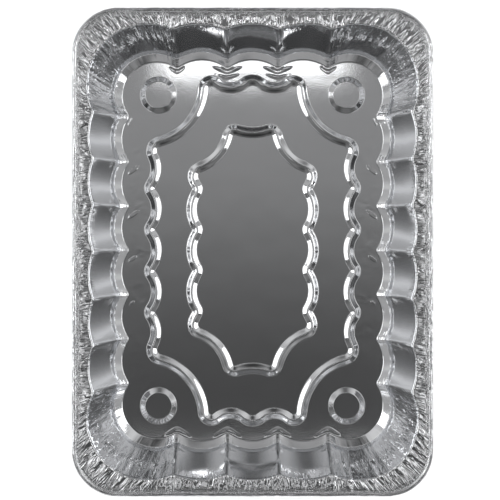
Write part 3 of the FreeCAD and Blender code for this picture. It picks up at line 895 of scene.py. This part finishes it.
def sheet_mesh(s, finish):
    """The whole sheet as one mesh, with a map of the section and masks for the finish."""
    wall, u, down, places, around, crinkled, rolled = wall_grid(s, finish)
    curl = curl_grid(s, finish, places[::2])[1:]
    points, triangles, buckled = floor_mesh(s, finish, wall[-1])
    columns_count = wall.shape[1]
    wall_index = np.arange(wall.shape[0] * columns_count).reshape(wall.shape[:2])
    curl_index = (np.arange(curl.shape[0] * curl.shape[1]) + wall_index.size).reshape(
        curl.shape[:2])
    floor_start = wall_index.size + curl_index.size - columns_count
    floor_index = np.where(triangles < columns_count, triangles + wall_index[-1, 0],
                           triangles + floor_start)
    first, after = curl_index[0], np.roll(curl_index[0], -1)
    rim = wall_index[0]
    joints = np.stack([first, after, np.roll(rim, -2)[::2], rim[1::2], rim[::2]], axis=-1)
    vertices = np.concatenate([wall.reshape(-1, 3), curl.reshape(-1, 3), points[columns_count:]])
    faces = quads(wall_index).tolist() + joints.tolist()
    faces += quads(curl_index[::-1]).tolist() + floor_index.tolist()
    mesh = bpy.data.meshes.new("foil_pan_sheet")
    mesh.from_pydata(vertices * MM, [], faces)
    curl_down = down[0].min() - CURL_MAP_STEP * np.arange(1, len(curl) + 1)
    flat = np.concatenate([
        np.stack([u, down], axis=-1).reshape(-1, 2),
        np.stack([np.broadcast_to(u[0, ::2], curl.shape[:2]),
                  np.broadcast_to(curl_down[:, None], curl.shape[:2])], axis=-1).reshape(-1, 2),
        points[columns_count:, :2]])
    loops = np.empty(len(mesh.loops), dtype=np.int32)
    mesh.loops.foreach_get("vertex_index", loops)
    place = flat[loops]
    totals = np.empty(len(mesh.polygons), dtype=np.int32)
    mesh.polygons.foreach_get("loop_total", totals)
    owner = np.repeat(np.arange(len(totals)), totals)
    highest = np.maximum.reduceat(place[:, 0], np.cumsum(totals) - totals)
    wrapped = (highest[owner] - place[:, 0] > around / 2) & (loops < floor_start + columns_count)
    place[wrapped, 0] += around
    mesh.uv_layers.new(name="section").data.foreach_set("uv", (place * MM).ravel())
    inner = np.zeros(len(points) - columns_count)
    on_curl = np.ones(curl_index.size)
    masks = {"crinkled": np.concatenate([crinkled.ravel(), on_curl * CURL_CRINKLE, inner]),
             "rolled": np.concatenate([rolled.ravel(), on_curl, inner]),
             "buckled": np.concatenate([np.zeros(floor_start + columns_count),
                                        buckled[columns_count:]])}
    for name, mask in masks.items():
        mesh.attributes.new(name, "FLOAT", "POINT").data.foreach_set("value", mask)
    mesh.shade_smooth()
    mesh.validate()
    return mesh


# The finish: rolled aluminium foil

def add_node(tree, kind, place, settings=None, links=None):
    """A node with its settings and links. A link's name is a socket's name or number."""
    node = tree.nodes.new(kind)
    node.location = place
    for name, value in (settings or {}).items():
        if isinstance(name, int) or name in node.inputs:
            node.inputs[name].default_value = value
        else:
            setattr(node, name, value)
    for name, source in (links or {}).items():
        tree.links.new(source, node.inputs[name])
    return node


def rolled_foil(finish):
    """Household aluminium foil, half hard and bright rolled.

    Rolling leaves a bright metal with a faint haze and very fine lines, so lights are mirrored
    with soft edges. Where the press gathered the sheet it is crinkled at about two millimetres.
    """
    material = bpy.data.materials.new("rolled_aluminium_foil")
    material.use_nodes = True
    tree = material.node_tree
    tree.nodes.clear()
    space = add_node(tree, "ShaderNodeTexCoord", (-1400, 0))
    section = add_node(tree, "ShaderNodeUVMap", (-1400, -300), {"uv_map": "section"})
    mask = add_node(tree, "ShaderNodeAttribute", (-1400, -600), {"attribute_name": "crinkled"})
    # Crinkles across the flange, down the corners and beside the ridges
    lengths = add_node(tree, "ShaderNodeMapping", (-1200, -300),
                       {"Scale": (1 / CRINKLE_PITCH, 1 / CRINKLE_LENGTH, 1)},
                       {"Vector": section.outputs[0]})
    crinkle = add_node(tree, "ShaderNodeTexNoise", (-1000, -300),
                       {"noise_type": "RIDGED_MULTIFRACTAL", "Scale": 1.0, "Detail": 1.0,
                        "Roughness": 0.5, "Distortion": 0.6}, {"Vector": lengths.outputs[0]})
    # Long creases along the rolled rim and round the ridges' feet
    rolled = add_node(tree, "ShaderNodeAttribute", (-1400, -900), {"attribute_name": "rolled"})
    ribbons = add_node(tree, "ShaderNodeMapping", (-1200, -900),
                       {"Scale": (1 / CREASE_LENGTH, 1 / CREASE_PITCH, 1)},
                       {"Vector": section.outputs[0]})
    crease = add_node(tree, "ShaderNodeTexNoise", (-1000, -900),
                      {"Scale": 1.0, "Detail": 2.0, "Roughness": 0.6},
                      {"Vector": ribbons.outputs[0]})
    creased = add_node(tree, "ShaderNodeBump", (-500, -900), {"Distance": CREASE_BUMP},
                       {"Height": crease.outputs[0], "Strength": rolled.outputs["Fac"]})
    # Soft buckles of the floor round the ridges' feet
    pulled = add_node(tree, "ShaderNodeAttribute", (-1400, -1200), {"attribute_name": "buckled"})
    buckle = add_node(tree, "ShaderNodeTexNoise", (-1000, -1200),
                      {"Scale": 1 / BUCKLE_LENGTH, "Detail": 1.0, "Distortion": 0.6},
                      {"Vector": space.outputs["Object"]})
    buckled = add_node(tree, "ShaderNodeBump", (-500, -1200), {"Distance": BUCKLE_BUMP},
                       {"Height": buckle.outputs[0], "Strength": pulled.outputs["Fac"],
                        "Normal": creased.outputs[0]})
    # The sheet's slow waviness
    wave = add_node(tree, "ShaderNodeTexNoise", (-1000, 0),
                    {"Scale": 1 / WAVE_LENGTH, "Detail": 1.0}, {"Vector": space.outputs["Object"]})
    # Rolling haze, really a few hundredths of a millimetre, drawn at about a millimetre to show
    grain = add_node(tree, "ShaderNodeTexNoise", (-1000, 300),
                     {"Scale": 1 / HAZE_LENGTH, "Detail": 2.0}, {"Vector": space.outputs["Object"]})
    slow = add_node(tree, "ShaderNodeBump", (-600, 0), {"Strength": 1.0, "Distance": WAVE_BUMP},
                    {"Height": wave.outputs[0], "Normal": buckled.outputs[0]})
    strength = add_node(tree, "ShaderNodeMath", (-800, -500),
                        {"operation": "MULTIPLY", 1: CRINKLE_STRENGTH}, {0: mask.outputs["Fac"]})
    fine = add_node(tree, "ShaderNodeBump", (-400, -200), {"Distance": CRINKLE_BUMP},
                    {"Height": crinkle.outputs[0], "Strength": strength.outputs[0],
                     "Normal": slow.outputs[0]})
    haze = add_node(tree, "ShaderNodeBump", (-200, 0),
                    {"Strength": HAZE_STRENGTH, "Distance": HAZE_BUMP},
                    {"Height": grain.outputs[0], "Normal": fine.outputs[0]})
    add_principled(tree, finish, haze)
    return material


def add_principled(tree, finish, normal):
    """The metal itself."""
    shader = add_node(tree, "ShaderNodeBsdfPrincipled", (0, 0),
                      {"Base Color": linear(finish["colour"]), "Metallic": 1.0,
                       "Roughness": finish["roughness"]}, {"Normal": normal.outputs[0]})
    add_node(tree, "ShaderNodeOutputMaterial", (300, 0), None, {"Surface": shader.outputs[0]})


# Operators

def finish_values():
    """The finish's settings, lengths in millimetres."""
    group = bpy.context.scene.foil_finish
    return {"colour": group.colour, "roughness": group.roughness, "seed": group.seed,
            "flange_crinkle": group.flange_crinkle / MM, "corner_gather": group.corner_gather / MM}


class PressSheet(bpy.types.Operator):
    """Press the pan from one sheet of foil"""
    bl_idname = "foil_pan.press_sheet"
    bl_label = "Press the sheet"

    def execute(self, context):
        s, finish = sizes(), finish_values()
        mesh = sheet_mesh(s, finish)
        sheet = bpy.data.objects.new("foil_pan_sheet", mesh)
        context.scene.collection.objects.link(sheet)
        mesh.materials.append(rolled_foil(finish))
        thickness = sheet.modifiers.new("gauge", "SOLIDIFY")
        thickness.thickness = s["gauge"] * MM
        thickness.offset = -1
        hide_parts(NODE)
        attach(sheet, "root")
        return {"FINISHED"}


def softbox(name, light, side=1):
    """A flat light of even brightness that faces down or the pan, on the given side of it.

    A flat light of radiance L and area A gives off L * A * pi watts.
    """
    lamp = bpy.data.lights.new(name, "AREA")
    lamp.shape = "RECTANGLE"
    lamp.size, lamp.size_y = light.size
    lamp.energy = light.brightness * light.size[0] * light.size[1] * math.pi
    holder = bpy.data.objects.new(name, lamp)
    bpy.context.scene.collection.objects.link(holder)
    x, y, z = light.place
    holder.location = (side * x, y, z)
    away = np.array([0, 0, 1]) if light.level else np.array([side * x, y, z])
    away = away / np.linalg.norm(away)
    holder.rotation_euler = (0, math.acos(away[2]), math.atan2(away[1], away[0]))
    return holder


def level_ramp(tree, value, levels, place):
    """A ramp from a direction's part, -1 to 1, to a brightness."""
    share = add_node(tree, "ShaderNodeMapRange", place, {"From Min": -1.0, "From Max": 1.0},
                     {"Value": value})
    ramp = add_node(tree, "ShaderNodeValToRGB", (place[0] + 200, place[1]), None,
                    {0: share.outputs[0]})
    stops = ramp.color_ramp.elements
    for number, (at, level) in enumerate(levels):
        stop = stops[number] if number < 2 else stops.new((at + 1) / 2)
        stop.position = (at + 1) / 2
        stop.color = (level, level, level, 1)
    return ramp.outputs[0]


def room():
    """Studio walls and ceiling, as a brightness by direction.

    The ceiling is a ramp along Y and the pale walls one along Z. The glow at the sides and the
    one at the far corners are each a ramp over X times a ramp along Y. All four are added.
    """
    world = bpy.data.worlds.new("studio")
    bpy.context.scene.world = world
    world.use_nodes = True
    tree = world.node_tree
    tree.nodes.clear()
    space = add_node(tree, "ShaderNodeTexCoord", (-900, 0))
    parts = add_node(tree, "ShaderNodeSeparateXYZ", (-700, 0), None,
                     {0: space.outputs["Generated"]})
    x, y, z = parts.outputs
    sideways = add_node(tree, "ShaderNodeMath", (-600, 400), {"operation": "ABSOLUTE"}, {0: x})
    total = add_node(tree, "ShaderNodeMath", (-100, 0), {"operation": "ADD"},
                     {0: level_ramp(tree, y, CEILING_LEVELS, (-500, 0)),
                      1: level_ramp(tree, z, WALL_LEVELS, (-500, -300))})
    for across, along, height in ((GLOW_ACROSS, GLOW_ALONG, 400), (FAN_ACROSS, FAN_ALONG, 900)):
        total = add_node(tree, "ShaderNodeMath", (-100, height), {"operation": "MULTIPLY_ADD"},
                         {0: level_ramp(tree, sideways.outputs[0], across, (-500, height + 250)),
                          1: level_ramp(tree, y, along, (-500, height)), 2: total.outputs[0]})
    shade = add_node(tree, "ShaderNodeBackground", (0, 0), None, {"Strength": total.outputs[0]})
    add_node(tree, "ShaderNodeOutputWorld", (200, 0), None, {"Surface": shade.outputs[0]})


class SetStudio(bpy.types.Operator):
    """Set the floor, the lights and the camera"""
    bl_idname = "foil_pan.set_studio"
    bl_label = "Set the studio"

    def execute(self, context):
        scene = context.scene
        studio = scene.pan_studio
        scene.view_settings.view_transform = "Standard"
        room()
        for name, light in END_LIGHTS.items():
            softbox(name, light)
        for side_name, side in (("right", 1), ("left", -1)):
            for name, light in SIDE_LIGHTS.items():
                softbox(side_name + "_" + name, light, side)
        overhead = softbox("floor_light", FLOOR_LIGHT)
        overhead.visible_glossy = False
        corners = FLOOR_HALF * np.array([(-1, -1), (1, -1), (1, 1), (-1, 1)])
        mesh = bpy.data.meshes.new("studio_floor")
        mesh.from_pydata(lifted(corners, LOW_Z), [], [(0, 1, 2, 3)])
        floor = bpy.data.objects.new("studio_floor", mesh)
        scene.collection.objects.link(floor)
        paper = bpy.data.materials.new("white_paper")
        paper.use_nodes = True
        paper.node_tree.nodes.clear()
        shader = add_node(paper.node_tree, "ShaderNodeBsdfPrincipled", (0, 0),
                          {"Base Color": linear(studio.floor_colour), "Roughness": PAPER_ROUGHNESS})
        add_node(paper.node_tree, "ShaderNodeOutputMaterial", (300, 0), None,
                 {"Surface": shader.outputs[0]})
        mesh.materials.append(paper)
        data = bpy.data.cameras.new("camera")
        data.lens = studio.lens
        data.shift_x, data.shift_y = CAMERA_SHIFT
        camera = bpy.data.objects.new("camera", data)
        camera.location = (*studio.camera_place, HIGH_Z + studio.camera_height)
        scene.collection.objects.link(camera)
        scene.camera = camera
        return {"FINISHED"}


class FoilPanPanel(bpy.types.Panel):
    """Lists the steps and their settings"""
    bl_idname = "VIEW3D_PT_foil_pan"
    bl_label = "Foil pan"
    bl_space_type = "VIEW_3D"
    bl_region_type = "UI"
    bl_category = "Foil pan"

    def draw(self, context):
        layout = self.layout
        scene = context.scene
        for operator in OPERATORS:
            layout.operator(operator.bl_idname)
        for group in (scene.pan_sizes, scene.foil_finish, scene.pan_studio):
            for prop in group.bl_rna.properties:
                if prop.identifier not in ("rna_type", "name"):
                    layout.prop(group, prop.identifier)


OPERATORS = (PressSheet, SetStudio)
GROUPS = {"pan_sizes": PanSizes, "foil_finish": FoilFinish, "pan_studio": Studio}


def register():
    """Register the add-on's classes and its settings."""
    for group in (*GROUPS.values(), *OPERATORS, FoilPanPanel):
        bpy.utils.register_class(group)
    for name, group in GROUPS.items():
        setattr(bpy.types.Scene, name, PointerProperty(type=group))


def unregister():
    """Take the settings and the classes away again."""
    for name in GROUPS:
        delattr(bpy.types.Scene, name)
    for group in reversed((*GROUPS.values(), *OPERATORS, FoilPanPanel)):
        bpy.utils.unregister_class(group)


def main():
    """Build the pan and its studio."""
    register()
    bpy.ops.foil_pan.press_sheet()
    bpy.ops.foil_pan.set_studio()


if __name__ == "__main__":
    main()
